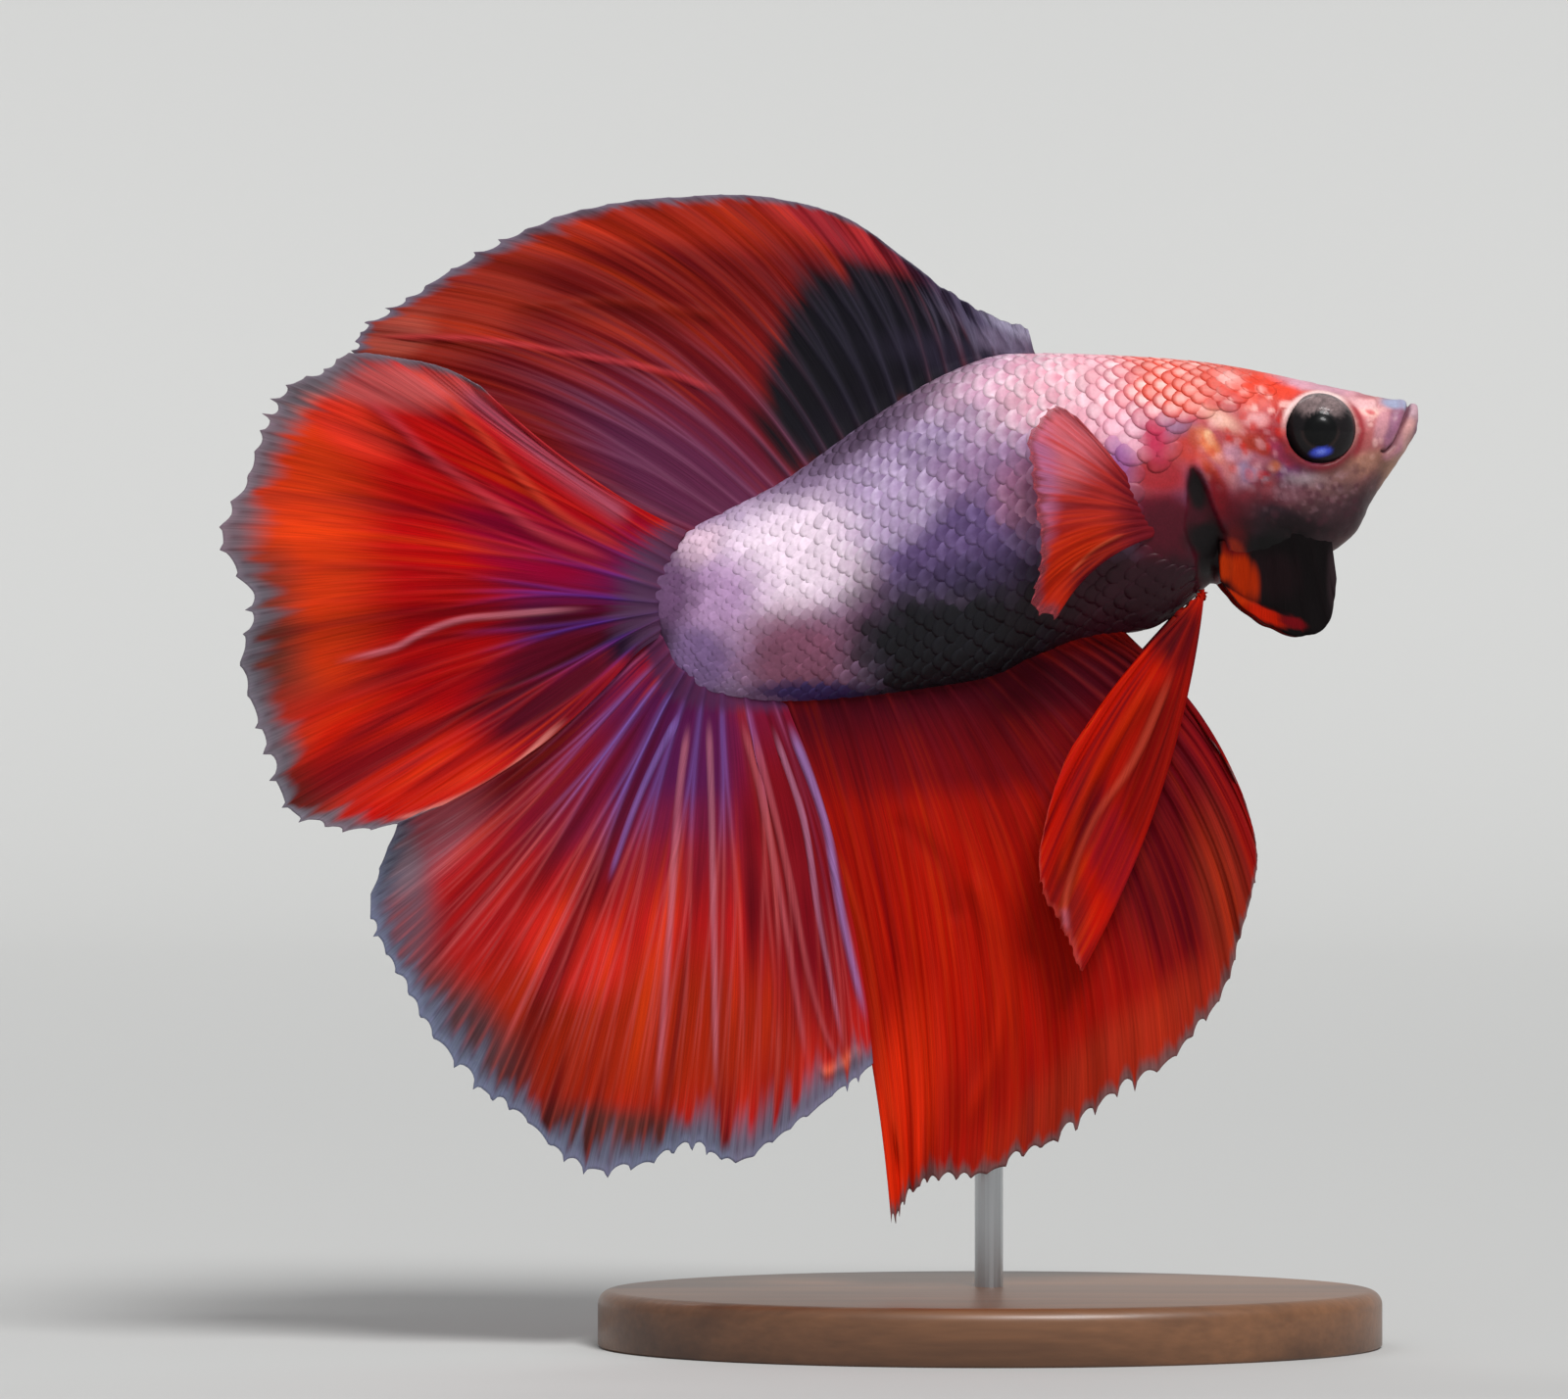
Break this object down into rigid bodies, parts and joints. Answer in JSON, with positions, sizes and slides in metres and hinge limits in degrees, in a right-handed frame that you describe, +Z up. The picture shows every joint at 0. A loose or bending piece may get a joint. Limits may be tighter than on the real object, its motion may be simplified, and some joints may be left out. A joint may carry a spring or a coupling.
{
  "type": "betta fish display model",
  "caption": "Life-size still model of a male halfmoon betta with spread, rippled fins, held on a rod over an oval base.",
  "frame": {"origin": "middle of the underside of the stand's oval base, where it rests on the surface", "axes": "+X towards the fish's snout, +Z up; the fish's right flank and the side its tail swings to are towards -Y"},
  "size_m": [0.066, 0.03, 0.0647],
  "materials": {
    "head_skin": "satin, small rounded scales, rose white over orange red",
    "jaw_skin": "satin, smooth, peach brown",
    "body_skin": "satin, rounded scales, rose white to lavender with a dark flank patch",
    "gill_membrane": "satin, near black with an orange red patch",
    "eye": "gloss, near black with a blue glint",
    "tall_fin": "satin, thin ribbed membrane, crimson to orange red",
    "tail_fin": "satin, thin ribbed membrane, red with violet streaks and a blue grey edge",
    "paired_fin": "satin, thin ribbed membrane, orange red",
    "stand_wood": "satin oiled walnut",
    "stand_steel": "satin"
  },
  "bodies": {
    "root": {"head": "head_skin", "gill_cover_right": "head_skin", "gill_cover_left": "head_skin", "lower_jaw": "jaw_skin", "trunk": "body_skin", "tail_stalk": "body_skin", "beard_right": "gill_membrane", "beard_left": "gill_membrane", "eye_right": "eye", "eye_left": "eye", "dorsal_fin": "tall_fin", "anal_fin": "tall_fin", "caudal_fin_upper": "tail_fin", "caudal_fin_lower": "tail_fin", "pectoral_fin_right": "paired_fin", "pectoral_fin_left": "paired_fin", "pelvic_fin_right": "paired_fin", "pelvic_fin_left": "paired_fin", "stand_base": "stand_wood", "stand_rod": "stand_steel"}
  },
  "joints": []
}
